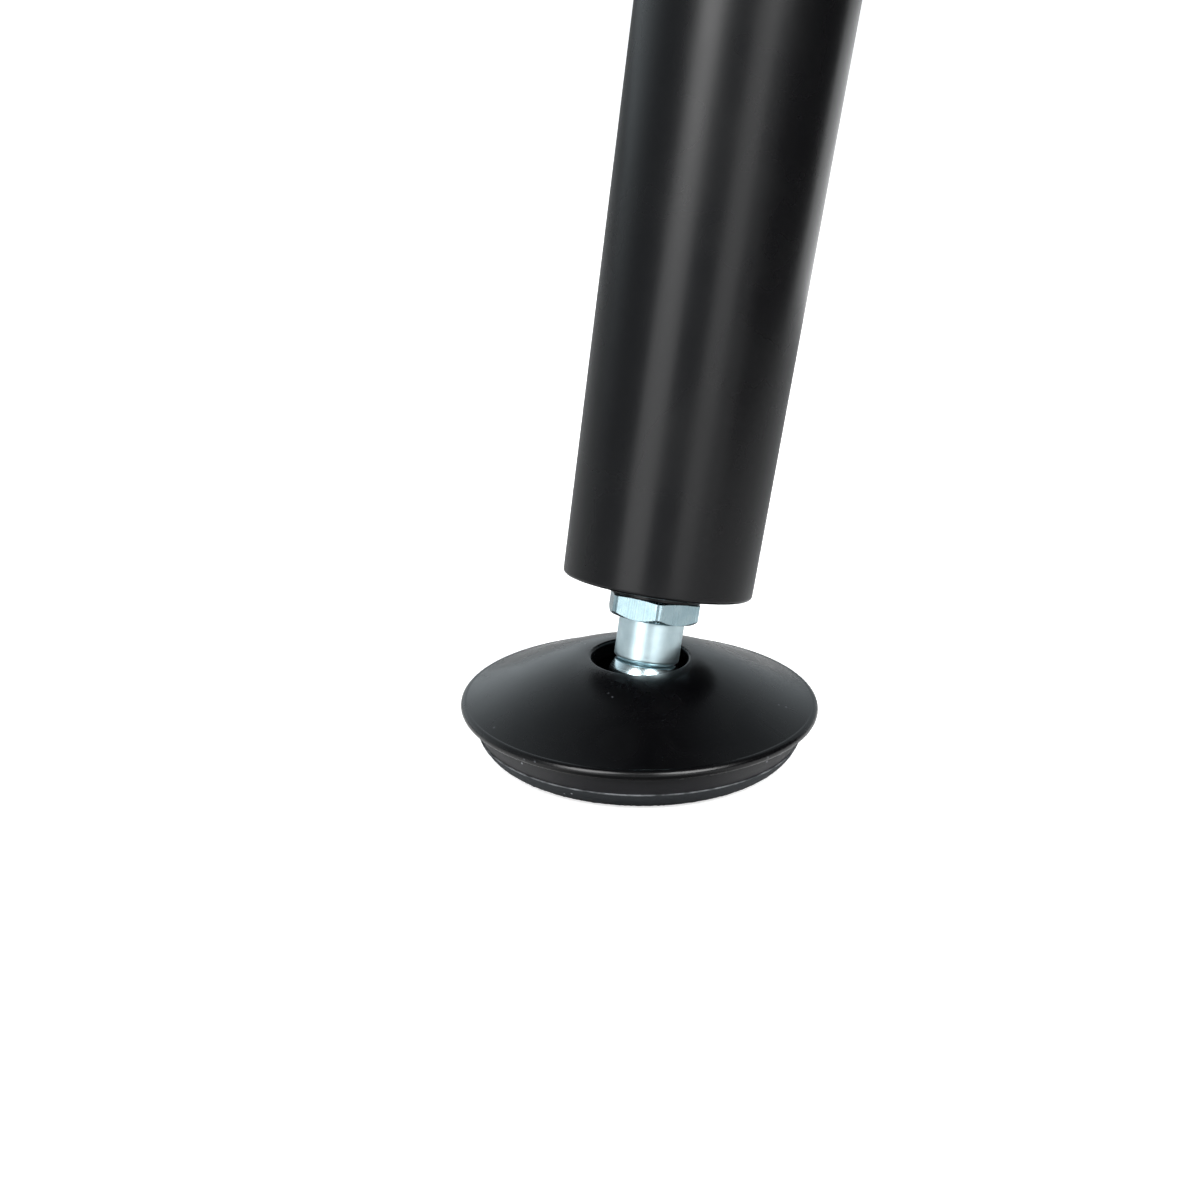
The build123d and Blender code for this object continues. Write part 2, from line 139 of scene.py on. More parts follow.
# Latch rivets and sole, in mm
LATCH_RIVET_RADIUS = 2.0
LATCH_RIVET_HEAD = 1.5
LATCH_RIVET_EDGE = 0.3
SOLE_FLAT_RADIUS = 21.6
SOLE_CURVE = (25.0, 0.5)
SOLE_LIP = (26.3, 3.7)
SOLE_LIP_INNER = 24.4
SOLE_PAD = 1.5
SOLE_STEPS = 14
SOLE_UNEVEN = 0.07

# Widths of the broken edges on the copied CAD pieces, in mm
BRACKET_BREAK = 0.4
SPRING_BREAK = 0.12
HEAD_BREAK = 0.6

# Small pale nicks and specks of dirt on the foot: degrees round from the camera's side, then radius,
# height and size in mm
CAP_MARKS = [
    (-18.0, 14.5, 14.8, 0.22), (-21.7, 13.8, 15.0, 0.18), (72.9, 24.4, 10.4, 0.24), (71.4, 23.4, 10.9, 0.2),
    (-59.5, 26.8, 9.4, 0.2), (-38.6, 29.0, 8.0, 0.24), (-34.4, 29.0, 8.2, 0.2), (42.7, 29.0, 7.9, 0.26),
    (50.0, 29.0, 7.7, 0.2),
]
BASE_MARKS = [(-44.5, 26.5, 5.6, 0.22), (57.1, 26.5, 5.4, 0.24), (48.5, 26.5, 5.5, 0.2)]
SOLE_MARKS = [(-24.6, 25.7, 2.5, 0.24), (-27.7, 25.4, 2.1, 0.2)]
MARK_FRAY = 0.25

# Camera, as the photograph was taken: a long lens close to the foot, looking a little down
CAMERA_AZIMUTH = math.radians(35.0)
CAMERA_ELEVATION = math.radians(20.8)
CAMERA_ROLL = math.radians(0.35)
CAMERA_DISTANCE = 406.5 * MM
CAMERA_LENS = 76.08
AIM_RIGHT = -6.5 * MM
AIM_UP = 25.8 * MM

# Floor, in metres from the middle of the foot: a painted shadow in front of it and a painted pool of light
# round it, which light the leg and show in its reflections, while the camera sees a plain floor
FLOOR_SIZE = 12
PAINTED_SHADE_AHEAD = 0.04
PAINTED_SHADE_FADE = (0.012, 0.036)
PAINTED_LIGHT_FADE = (0.06, 0.075)
FLOOR_GLOW = 0.6

# Studio: distance and aim of the lights in metres, and the walls' brightness by the height of the direction
LIGHT_DISTANCE = 1.0
LIGHT_AIM_HEIGHT = 0.1
WALL_LEVELS = [
    (0.0, 0.95), (0.24, 1.0), (0.42, 0.88), (0.58, 0.62), (0.72, 0.42),
    (0.84, 0.31), (0.906, 0.2), (0.935, 0.1), (0.96, 0.045), (1.0, 0.025),
]
WALL_TINT = (0.86, 0.95, 1.0)

view_right = Vector((math.cos(CAMERA_AZIMUTH), math.sin(CAMERA_AZIMUTH), 0))
view_away = Vector((-math.sin(CAMERA_AZIMUTH), math.cos(CAMERA_AZIMUTH), 0))
view_back = -view_away * math.cos(CAMERA_ELEVATION) + Vector((0, 0, math.sin(CAMERA_ELEVATION)))


def add_camera():
    aim = foot_centre + view_right * AIM_RIGHT + Vector((0, 0, AIM_UP))
    data = bpy.data.cameras.new("photo_camera")
    data.lens = CAMERA_LENS
    data.sensor_width = 36.0
    data.clip_start = 0.01
    camera = bpy.data.objects.new("photo_camera", data)
    bpy.context.scene.collection.objects.link(camera)
    camera.location = aim + view_back * CAMERA_DISTANCE
    turn = (-view_back).to_track_quat("-Z", "Y").to_matrix().to_4x4()
    camera.rotation_euler = (turn @ Matrix.Rotation(CAMERA_ROLL, 4, "Z")).to_euler()
    bpy.context.scene.camera = camera


def around(degrees, distance, height):
    """A place round the foot: degrees to the right of the camera's direction, seen from the foot."""
    angle = math.radians(degrees)
    outwards = view_right * math.sin(angle) - view_away * math.cos(angle)
    return foot_centre + outwards * distance + Vector((0, 0, height))


# Modelling, by hand in edit mode
def take(*pieces):
    """Makes these pieces the only ones selected, with the first one active."""
    bpy.ops.object.select_all(action="DESELECT")
    for piece in pieces:
        piece.select_set(True)
    bpy.context.view_layer.objects.active = pieces[0]


def pick_vertices(piece, wanted):
    """Selects only the vertices whose place is wanted, ready for edit mode."""
    take(piece)
    bpy.ops.object.mode_set(mode="EDIT")
    bpy.ops.mesh.select_mode(type="VERT")
    bpy.ops.mesh.select_all(action="DESELECT")
    bpy.ops.object.mode_set(mode="OBJECT")
    for vertex in piece.data.vertices:
        vertex.select = wanted(vertex.co)


def pick_edges(piece, wanted):
    """Selects only the edges whose two ends are wanted, ready for edit mode."""
    take(piece)
    bpy.ops.object.mode_set(mode="EDIT")
    bpy.ops.mesh.select_mode(type="EDGE")
    bpy.ops.mesh.select_all(action="DESELECT")
    bpy.ops.object.mode_set(mode="OBJECT")
    for edge in piece.data.edges:
        edge.select = wanted(*(piece.data.vertices[i].co for i in edge.vertices))


def apply_modifier(piece, kind, **settings):
    take(piece)
    modifier = piece.modifiers.new(kind.lower(), kind)
    for name, value in settings.items():
        setattr(modifier, name, value)
    bpy.ops.object.modifier_apply(modifier=modifier.name)


def soften(piece, width, angle=28):
    """Breaks the sharp edges, as tumbling, casting and plating leave them."""
    apply_modifier(piece, "BEVEL", width=width * MM, segments=2, limit_method="ANGLE",
                   angle_limit=math.radians(angle))


def turn_up(name, profile, sides=96, hollow=False):
    """Turned shape along Z, drawn up ring by ring through (radius, height) points in mm.

    A solid one starts as a disc. A hollow one starts as a bare circle and its last ring closes on the first.
    """
    radius, height = profile[0]
    if hollow:
        profile = profile + profile[:1]
    bpy.ops.object.select_all(action="DESELECT")
    fill = "NOTHING" if hollow else "NGON"
    bpy.ops.mesh.primitive_circle_add(vertices=sides, radius=radius * MM, fill_type=fill)
    piece = bpy.context.object
    piece.name = name
    bpy.ops.object.mode_set(mode="EDIT")
    bpy.ops.mesh.select_mode(type="VERT")
    bpy.ops.mesh.select_all(action="SELECT")
    bpy.ops.transform.translate(value=(0, 0, height * MM))
    for (radius, height), (next_radius, next_height) in zip(profile, profile[1:]):
        rise = (0, 0, (next_height - height) * MM)
        bpy.ops.mesh.extrude_region_move(TRANSFORM_OT_translate={"value": rise})
        growth = next_radius / radius
        bpy.ops.transform.resize(value=(growth, growth, 1), center_override=(0, 0, next_height * MM))
    bpy.ops.mesh.select_all(action="SELECT")
    bpy.ops.mesh.remove_doubles(threshold=0.001 * MM)
    bpy.ops.mesh.normals_make_consistent(inside=False)
    bpy.ops.object.mode_set(mode="OBJECT")
    return piece


def round_head(radius, height, low, steps=8):
    """Profile of a domed rivet head, from its edge at this low level to its crown."""
    ball = (radius ** 2 + height ** 2) / (2 * height)
    points = []
    for step in range(steps):
        angle = math.asin(radius / ball) * (1 - step / steps)
        points.append((ball * math.sin(angle), low + height - ball * (1 - math.cos(angle))))
    return points


def cut_with(piece, tool, operation):
    apply_modifier(piece, "BOOLEAN", operation=operation, object=tool, solver="EXACT")
    take(tool)
    bpy.ops.object.delete()


def mill_hexagon(name, flats, bottom, top, turn, corner, chamfers):
    """Hexagon bar with rounded corners, its two ends chamfered by a cone as on a turned nut or bolt head."""
    corner_radius = flats / 2 / math.cos(math.radians(30))
    hair = 0.0006
    bpy.ops.object.select_all(action="DESELECT")
    bpy.ops.mesh.primitive_cylinder_add(
        vertices=6, radius=corner_radius * MM, depth=(top - bottom) * MM,
        location=(0, 0, (top + bottom) / 2 * MM), rotation=(0, 0, math.radians(turn - 30)))
    piece = bpy.context.object
    piece.name = name
    bpy.ops.object.transform_apply()
    pick_edges(piece, lambda start, end: abs(end.z - start.z) > MM)
    bpy.ops.object.mode_set(mode="EDIT")
    bpy.ops.mesh.bevel(offset=corner * math.tan(math.radians(30)) * MM, segments=6, affect="EDGES")
    bpy.ops.object.mode_set(mode="OBJECT")
    cone = turn_up("chamfer_cone", [
        (flats / 2, bottom - hair),
        (corner_radius, bottom + chamfers[0]),
        (corner_radius, top - chamfers[1]),
        (flats / 2, top + hair),
    ])
    cut_with(piece, cone, "INTERSECT")
    return piece


def cut_thread(name, root, crest, pitch, bottom, turns):
    """Helical ridge of a metric thread, closed at both ends."""
    bury = 0.3
    foot_share = 0.94
    crest_share = 0.14
    bpy.ops.object.select_all(action="DESELECT")
    bpy.ops.mesh.primitive_plane_add(size=1, rotation=(math.radians(90), 0, 0))
    piece = bpy.context.object
    piece.name = name
    piece.scale = ((crest - root + bury) * MM, pitch * foot_share * MM, 1)
    piece.location = ((crest + root - bury) / 2 * MM, 0, (bottom + pitch / 2) * MM)
    bpy.ops.object.transform_apply()
    pick_vertices(piece, lambda place: place.x > (crest + root) / 2 * MM)
    bpy.ops.object.mode_set(mode="EDIT")
    bpy.ops.transform.resize(value=(1, 1, crest_share), center_override=(0, 0, (bottom + pitch / 2) * MM))
    bpy.ops.mesh.select_all(action="SELECT")
    bpy.ops.mesh.delete(type="ONLY_FACE")
    bpy.ops.object.mode_set(mode="OBJECT")
    apply_modifier(piece, "SCREW", axis="Z", screw_offset=pitch * MM, iterations=turns,
                   steps=40, render_steps=40)
    bpy.ops.object.mode_set(mode="EDIT")
    bpy.ops.mesh.select_all(action="SELECT")
    bpy.ops.mesh.remove_doubles(threshold=0.0001 * MM)
    bpy.ops.mesh.fill_holes(sides=4)
    bpy.ops.mesh.normals_make_consistent(inside=False)
    bpy.ops.object.mode_set(mode="OBJECT")
    return piece


def shade_round(piece, smooth_angle):
    """Shades round faces smooth and keeps the flat ones flat right up to their broken edges."""
    bpy.ops.object.shade_smooth_by_angle(angle=math.radians(smooth_angle), keep_sharp_edges=False)
    apply_modifier(piece, "WEIGHTED_NORMAL", keep_sharp=True)


def lay(name, parts, place, smooth_angle=24):
    """Joins the parts into one piece, lays it in its place and shades its round faces smooth."""
    take(*parts)
    if len(parts) > 1:
        bpy.ops.object.join()
    piece = bpy.context.object
    piece.name = name
    piece.data.name = name
    piece.matrix_world = place
    bpy.ops.object.transform_apply()
    shade_round(piece, smooth_angle)
    return piece


def lay_copies(name, model, places, smooth_angle=24):
    """Copies one modelled piece to each place, every copy with its own mesh, and joins the copies."""
    copies = []
    for place in places:
        take(model)
        bpy.ops.object.duplicate(linked=False)
        copies.append(lay(name, [bpy.context.object], place, smooth_angle))
    take(model)
    bpy.ops.object.delete()
    return lay(name, copies, Matrix.Identity(4), smooth_angle)


def hand_over(piece, body, slot, *replaced):
    """Gives a piece its finish, the body it rides on and the CAD node it stands for."""
    piece.data.materials.clear()
    piece.data.materials.append(finishes[slot])
    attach(piece, body)
    if replaced:
        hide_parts(*replaced)


# Pieces of the leg and foot
def add_leg_tube():
    fillet = []
    for step in range(TUBE_EDGE_STEPS + 1):
        angle = math.radians(-90 + 90 * step / TUBE_EDGE_STEPS)
        fillet.append((TUBE_BOTTOM_RADIUS + TUBE_EDGE * (math.cos(angle) - 1),
                       TUBE_BOTTOM + TUBE_EDGE * (math.sin(angle) + 1)))
    # Rings close to the fillet and the collar keep the shading of the long cone straight
    above_fillet = TUBE_BOTTOM + 4 * TUBE_EDGE
    below_collar = COLLAR_LOW - 4 * TUBE_EDGE
    tube = turn_up("tube", [(TUBE_BOTTOM_RADIUS - TUBE_WALL, TUBE_BOTTOM)] + fillet + [
        (TUBE_BOTTOM_RADIUS + TUBE_TAPER * (above_fillet - TUBE_BOTTOM), above_fillet),
        (TUBE_BOTTOM_RADIUS + TUBE_TAPER * (below_collar - TUBE_BOTTOM), below_collar),
        (TUBE_TOP_RADIUS, COLLAR_LOW),
        (TUBE_TOP_RADIUS, TUBE_TOP),
        (TUBE_TOP_RADIUS - TUBE_WALL, TUBE_TOP),
        (TUBE_TOP_RADIUS - TUBE_WALL, COLLAR_LOW),
    ], sides=192, hollow=True)
    hand_over(lay("conical_tube", [tube], leg_frame), "leg", "leg_coat", "leg_tube")


def add_end_disc():
    edge = TUBE_BOTTOM_RADIUS - TUBE_WALL - DISC_FIT
    root = []
    for step in range(BOSS_ROOT_STEPS + 1):
        angle = math.radians(90 * step / BOSS_ROOT_STEPS)
        root.append((BOSS_RADIUS + BOSS_ROOT * (1 - math.cos(angle)),
                     TUBE_BOTTOM + BOSS_ROOT * (math.sin(angle) - 1)))
    boss = [
        (DISC_HOLE, DISC_TOP),
        (DISC_HOLE, BOSS_BOTTOM),
        (BOSS_RADIUS - BOSS_CHAMFER, BOSS_BOTTOM),
        (BOSS_RADIUS, BOSS_BOTTOM + BOSS_CHAMFER),
    ]
    disc = turn_up("disc", boss + root + [
        (edge, TUBE_BOTTOM),
        (edge + TUBE_TAPER * (DISC_TOP - TUBE_BOTTOM), DISC_TOP),
    ], sides=128, hollow=True)
    hand_over(lay("bossed_end_disc", [disc], leg_frame), "leg", "leg_coat", "end_disc")


def add_head_rivets():
    rivet = turn_up("rivet", [(HEAD_RIVET_RADIUS, -HEAD_RIVET_BED)] +
                    round_head(HEAD_RIVET_RADIUS, HEAD_RIVET_HEIGHT, 0), sides=40)
    seat = Matrix.Translation((TUBE_TOP_RADIUS * MM, 0, (TUBE_TOP - HEAD_RIVET_DEPTH) * MM))
    outwards = seat @ Matrix.Rotation(math.radians(90), 4, "Y")
    places = []
    for degrees in HEAD_RIVET_BEARINGS:
        places.append(leg_frame @ Matrix.Rotation(math.radians(degrees), 4, "Z") @ outwards)
    hand_over(lay_copies("domed_head_rivets", rivet, places, 40), "leg", "rivet_coat", "head_rivets")


def add_levelling_spindle():
    ball = []
    for degree in range(-87, 54, 6):
        angle = math.radians(degree)
        ball.append((BALL_RADIUS * math.cos(angle), BALL_RADIUS * math.sin(angle)))
    shank = turn_up("shank", ball + [
        (NECK_RADIUS, math.sqrt(BALL_RADIUS ** 2 - NECK_RADIUS ** 2)),
        (NECK_RADIUS, SHOULDER),
        (SHANK_RADIUS - SHANK_CHAMFER, SHOULDER),
        (SHANK_RADIUS, SHOULDER + SHANK_CHAMFER),
        (SHANK_RADIUS, HEX_BOTTOM - UNDERCUT),
        (STUD_RADIUS, HEX_BOTTOM - UNDERCUT),
        (STUD_RADIUS, HEX_BOTTOM),
    ])
    soften(shank, SPINDLE_BREAK)
    hexagon = mill_hexagon("hexagon", HEX_FLATS, HEX_BOTTOM, HEX_TOP, HEX_TURN, HEX_CORNER, HEX_CHAMFERS)
    soften(hexagon, SPINDLE_BREAK)
    stud = turn_up("stud", [
        (STUD_RADIUS, HEX_TOP),
        (STUD_RADIUS, HEX_TOP + THREAD_PITCH),
        (THREAD_ROOT, HEX_TOP + 1.5 * THREAD_PITCH),
        (THREAD_ROOT, STUD_TOP - THREAD_PITCH / 2),
        (THREAD_ROOT - THREAD_PITCH / 2, STUD_TOP),
    ], sides=48)
    turns = int((STUD_TOP - HEX_TOP) / THREAD_PITCH) - 2
    thread = cut_thread("thread", THREAD_ROOT, STUD_RADIUS, THREAD_PITCH, HEX_TOP + THREAD_PITCH / 2, turns)
    spindle = lay("turned_spindle", [shank, hexagon, stud, thread], leg_frame)
    hand_over(spindle, "spindle", "spindle_zinc", "levelling_spindle")


def add_neck_ring():
    ring = turn_up("ring", [
        (RING_BORE, RING_BOTTOM),
        (RING_RADIUS, RING_BOTTOM),
        (RING_RADIUS, RING_SHOULDER),
        (RING_TOP_RADIUS, RING_TOP),
        (RING_BORE, RING_TOP),
    ], hollow=True)
    soften(ring, RING_BREAK, 20)
    hand_over(lay("bevelled_ring", [ring], leg_frame, 40), "neck", "spindle_zinc", "neck_ring")


def add_foot_sole():
    curve = []
    for step in range(SOLE_STEPS + 1):
        t = step / SOLE_STEPS
        curve.append(tuple(
            (1 - t) ** 2 * start + 2 * t * (1 - t) * bend + t ** 2 * end
            for start, bend, end in zip((SOLE_FLAT_RADIUS, 0), SOLE_CURVE, SOLE_LIP)))
    sole = turn_up("sole", [(1, SOLE_PAD), (SOLE_LIP_INNER, SOLE_PAD), (SOLE_LIP_INNER, SOLE_LIP[1])] +
                   curve[::-1], sides=320)
    # The cut edge of the rubber is a little uneven
    pick_vertices(sole, lambda place: place.xy.length > (SOLE_FLAT_RADIUS + 0.8) * MM
                  and 0.15 < place.z / MM < SOLE_LIP[1] - 0.3)
    bpy.ops.object.mode_set(mode="EDIT")
    bpy.ops.transform.vertex_random(offset=SOLE_UNEVEN * MM, seed=4)
    bpy.ops.object.mode_set(mode="OBJECT")
    hand_over(lay("rubber_sole", [sole], foot_frame, 40), "foot", "sole_rubber", "foot_sole")


# Pieces of the folding bracket
def add_pivot_bolt():
    head_end, thread_end = ((x - hinge_centre.x) / MM for x in (bolt_low[0], bolt_high[0]))
    cheek = (nut_low[0] - hinge_centre.x) / MM
    head = mill_hexagon("head", BOLT_FLATS, head_end, -cheek, BOLT_TURN, BOLT_CORNER,
                        (BOLT_CHAMFER, BEARING_CHAMFER))
    soften(head, BOLT_BREAK)
    shank = turn_up("bolt_shank", [
        (STUD_RADIUS, -cheek),
        (STUD_RADIUS, cheek),
        (THREAD_ROOT, cheek + STUD_RADIUS - THREAD_ROOT),
        (THREAD_ROOT, thread_end - SHANK_CHAMFER),
        (THREAD_ROOT - SHANK_CHAMFER, thread_end),
    ], sides=64)
    turns = int((thread_end - cheek - 1) / THREAD_PITCH) - 1
    thread = cut_thread("bolt_thread", THREAD_ROOT, STUD_RADIUS, THREAD_PITCH, cheek + 1, turns)
    bolt = lay("hinge_bolt", [head, shank, thread], hinge_frame)
    hand_over(bolt, "bracket", "zinc_hardware", "pivot_bolt")


def add_lock_nut():
    cheek, end = ((x - hinge_centre.x) / MM for x in (nut_low[0], nut_high[0]))
    collar_start = cheek + NUT_HEX_HEIGHT
    hexagon = mill_hexagon("nut_hexagon", BOLT_FLATS, cheek, collar_start, BOLT_TURN, BOLT_CORNER,
                           (BEARING_CHAMFER, BOLT_CHAMFER))
    cut_with(hexagon, turn_up("drill", [(NUT_BORE, cheek - 1), (NUT_BORE, collar_start + 1)]), "DIFFERENCE")
    soften(hexagon, BOLT_BREAK)
    collar = turn_up("nut_collar", [
        (INSERT_RADIUS, collar_start),
        (NUT_COLLAR_RADIUS, collar_start),
        (NUT_COLLAR_RADIUS, end - NUT_COLLAR_ROUND),
        (NUT_COLLAR_RADIUS - NUT_COLLAR_SHOULDER, end - NUT_COLLAR_SHOULDER),
        (NUT_COLLAR_RADIUS - NUT_COLLAR_ROUND, end),
        (INSERT_RADIUS, end),
    ], sides=64, hollow=True)
    hand_over(lay("lock_nut", [hexagon, collar], hinge_frame), "bracket", "zinc_hardware", "pivot_nut")
    insert = turn_up("insert", [
        (NUT_BORE, collar_start),
        (INSERT_RADIUS - INSERT_FIT, collar_start),
        (INSERT_RADIUS - INSERT_FIT, end - INSERT_SINK[0]),
        (NUT_BORE, end - INSERT_SINK[1]),
    ], sides=64, hollow=True)
    soften(insert, INSERT_BREAK)
    hand_over(lay("nut_insert", [insert], hinge_frame), "bracket", "nylon")


def add_stop_pin():
    reach = (stop_high[0] - stop_low[0]) / 2 / MM
    head_radius = (stop_high[2] - stop_low[2]) / 2 / MM
    cheek = reach - STOP_HEAD
    far_head = round_head(head_radius, STOP_HEAD - STOP_HEAD_EDGE, cheek + STOP_HEAD_EDGE)
    near_head = [(radius, -height) for radius, height in far_head[::-1]]
    pin = turn_up("pin", near_head + [(head_radius, -cheek), (STOP_RADIUS, -cheek)] +
                  [(STOP_RADIUS, cheek), (head_radius, cheek)] + far_head, sides=48)
    place = Matrix.Translation((stop_low + stop_high) / 2) @ Matrix.Rotation(math.radians(90), 4, "Y")
    hand_over(lay("riveted_stop_pin", [pin], place, 40), "bracket", "zinc_hardware", "stop_pin")


def add_latch_rivets():
    head_radius = (latch_high[0] - latch_low[0]) / 2 / MM
    length = (latch_high[2] - latch_low[2]) / MM
    dome = LATCH_RIVET_HEAD - LATCH_RIVET_EDGE
    head = [(radius, dome - height) for radius, height in round_head(head_radius, dome, 0)[::-1]]
    rivet = turn_up("latch_rivet", head + [
        (head_radius, LATCH_RIVET_HEAD),
        (LATCH_RIVET_RADIUS, LATCH_RIVET_HEAD),
        (LATCH_RIVET_RADIUS, length),
    ], sides=32)
    middle = (latch_low[0] + latch_high[0]) / 2
    rows = (latch_low[1] + head_radius * MM, latch_high[1] - head_radius * MM)
    places = [Matrix.Translation((middle, row, latch_low[2])) for row in rows]
    rivets = lay_copies("domed_latch_rivets", rivet, places, 40)
    hand_over(rivets, "bracket", "zinc_hardware", "latch_rivets")


def break_edges(node, name, width, body, slot):
    """Copy of a CAD node with its sharp edges broken, so that they catch the light as real ones do."""
    piece = bpy.data.objects.new(name, frame["nodes"][node].data.copy())
    bpy.context.scene.collection.objects.link(piece)
    take(piece)
    bpy.ops.mesh.customdata_custom_splitnormals_clear()
    bpy.ops.object.mode_set(mode="EDIT")
    bpy.ops.mesh.select_all(action="SELECT")
    bpy.ops.mesh.remove_doubles(threshold=0.001 * MM)
    bpy.ops.mesh.dissolve_limited(angle_limit=math.radians(1))
    bpy.ops.object.mode_set(mode="OBJECT")
    soften(piece, width, 35)
    shade_round(piece, 30)
    hand_over(piece, body, slot, node)


# Materials
def to_linear(hex_colour):
    """sRGB hex value to linear red, green, blue and alpha."""
    parts = [int(hex_colour[i:i + 2], 16) / 255 for i in (1, 3, 5)]
    return [c / 12.92 if c <= 0.04045 else ((c + 0.055) / 1.055) ** 2.4 for c in parts] + [1.0]


def add_node(owner, kind, links=None, values=None, **settings):
    """Adds one node with its settings, its fixed input values and its links from other nodes' sockets."""
    node = owner.node_tree.nodes.new(kind)
    for name, value in settings.items():
        setattr(node, name, value)
    for name, value in (values or {}).items():
        node.inputs[name].default_value = value
    for name, socket in (links or {}).items():
        owner.node_tree.links.new(socket, node.inputs[name])
    return node


def add_noise(material, place, width, detail):
    """Noise with features this many mm wide."""
    return add_node(material, "ShaderNodeTexNoise", {"Vector": place},
                    {"Scale": 1 / (width * MM), "Detail": detail})


def mix_colours(material, share, first, second):
    """Colour from the first to the second by this share; each is an sRGB hex value or a node's socket."""
    links = {0: share}
    values = {}
    for index, colour in ((6, first), (7, second)):
        if isinstance(colour, str):
            values[index] = to_linear(colour)
        else:
            links[index] = colour
    return add_node(material, "ShaderNodeMix", links, values, data_type="RGBA").outputs[2]


def new_material(name):
    material = bpy.data.materials.new(name)
    material.use_nodes = True
    return material, material.node_tree.nodes["Principled BSDF"]


def finish_surface(material, shader, colour, gloss, grain, depth):
    """Links a surface's colour, roughness and the bump of its grain, this many mm deep, to the shader."""
    bump = add_node(material, "ShaderNodeBump", {"Height": grain}, {"Strength": 1.0, "Distance": depth * MM})
    material.node_tree.links.new(colour, shader.inputs["Base Color"])
    material.node_tree.links.new(gloss, shader.inputs["Roughness"])
    material.node_tree.links.new(bump.outputs[0], shader.inputs["Normal"])


def speck_mask(material, place, marks):
    """1 on each small mark and 0 elsewhere; a fine noise frays the marks' edges."""
    fray = add_noise(material, place, 0.4, 1.0)
    shift = add_node(material, "ShaderNodeVectorMath", {0: fray.outputs["Color"]}, {"Scale": MARK_FRAY * MM},
                     operation="SCALE")
    frayed = add_node(material, "ShaderNodeVectorMath", {0: place, 1: shift.outputs[0]}, operation="ADD")
    centring = Vector((1, 1, 1)) * MARK_FRAY / 2 * MM
    mask = None
    for degrees, radius, height, size in marks:
        spot = around(degrees, radius * MM, height * MM) + centring
        away = add_node(material, "ShaderNodeVectorMath", {0: frayed.outputs[0]}, {1: spot},
                        operation="DISTANCE")
        mark = add_node(material, "ShaderNodeMapRange", {"Value": away.outputs["Value"]},
                        {"From Min": size * MM, "From Max": size / 2 * MM}, interpolation_type="SMOOTHSTEP")
        if mask is None:
            mask = mark.outputs[0]
        else:
            either = add_node(material, "ShaderNodeMath", {0: mask, 1: mark.outputs[0]}, operation="MAXIMUM")
            mask = either.outputs[0]
    return mask


def powder_coat(name, dark, light, roughness, peel, depth):
    """Satin black powder coat baked on steel: a soft sheen over a fine orange-peel skin, slightly cloudy."""
    material, shader = new_material(name)
    shader.inputs["Specular IOR Level"].default_value = 0.34
    place = add_node(material, "ShaderNodeTexCoord").outputs["Object"]
    skin = add_noise(material, place, peel, 2.0)
    cloud = add_noise(material, place, 16, 4.0)
    colour = mix_colours(material, cloud.outputs[0], dark, light)
    gloss = add_node(material, "ShaderNodeMapRange", {"Value": cloud.outputs[0]},
                     {"From Min": 0.3, "From Max": 0.7,
                      "To Min": roughness - 0.04, "To Max": roughness + 0.04})
    finish_surface(material, shader, colour, gloss.outputs[0], skin.outputs[0], depth)
    return material


def cap_plastic(name):
    """Injection-moulded ABS, half gloss: near black, a faint skin from the mould, wiped smears that blur the
    reflections, and small pale nicks."""
    material, shader = new_material(name)
    shader.inputs["Specular IOR Level"].default_value = 0.4
    place = add_node(material, "ShaderNodeTexCoord").outputs["Object"]
    skin = add_noise(material, place, 0.5, 2.0)
    smear = add_node(material, "ShaderNodeTexNoise", {"Vector": place},
                     {"Scale": 1 / (7 * MM), "Detail": 5.0, "Distortion": 0.6})
    nicks = speck_mask(material, place, CAP_MARKS)
    wiped = mix_colours(material, smear.outputs[0], "#020203", "#050506")
    colour = mix_colours(material, nicks, wiped, "#3e4044")
    gloss = add_node(material, "ShaderNodeMapRange", {"Value": smear.outputs[0]},
                     {"From Min": 0.3, "From Max": 0.7, "To Min": 0.22, "To Max": 0.3})
    finish_surface(material, shader, colour, gloss.outputs[0], skin.outputs[0], 0.004)
    return material


def base_plastic(name):
    """Moulded polypropylene with a matt eroded skin: dark grey, dull, with pale scuffs from knocks."""
    material, shader = new_material(name)
    shader.inputs["Specular IOR Level"].default_value = 0.5
    place = add_node(material, "ShaderNodeTexCoord").outputs["Object"]
    # A real eroded skin is about 0.05 mm wide; it is drawn four times as coarse so that it shows
    skin = add_noise(material, place, 0.2, 3.0)
    dust = add_noise(material, place, 5, 4.0)
    scuffs = speck_mask(material, place, BASE_MARKS)
    dusty = mix_colours(material, dust.outputs[0], "#161618", "#1e1e21")
    colour = mix_colours(material, scuffs, dusty, "#808287")
    gloss = add_node(material, "ShaderNodeMapRange", {"Value": skin.outputs[0]},
                     {"To Min": 0.4, "To Max": 0.56})
    finish_surface(material, shader, colour, gloss.outputs[0], skin.outputs[0], 0.02)
    return material


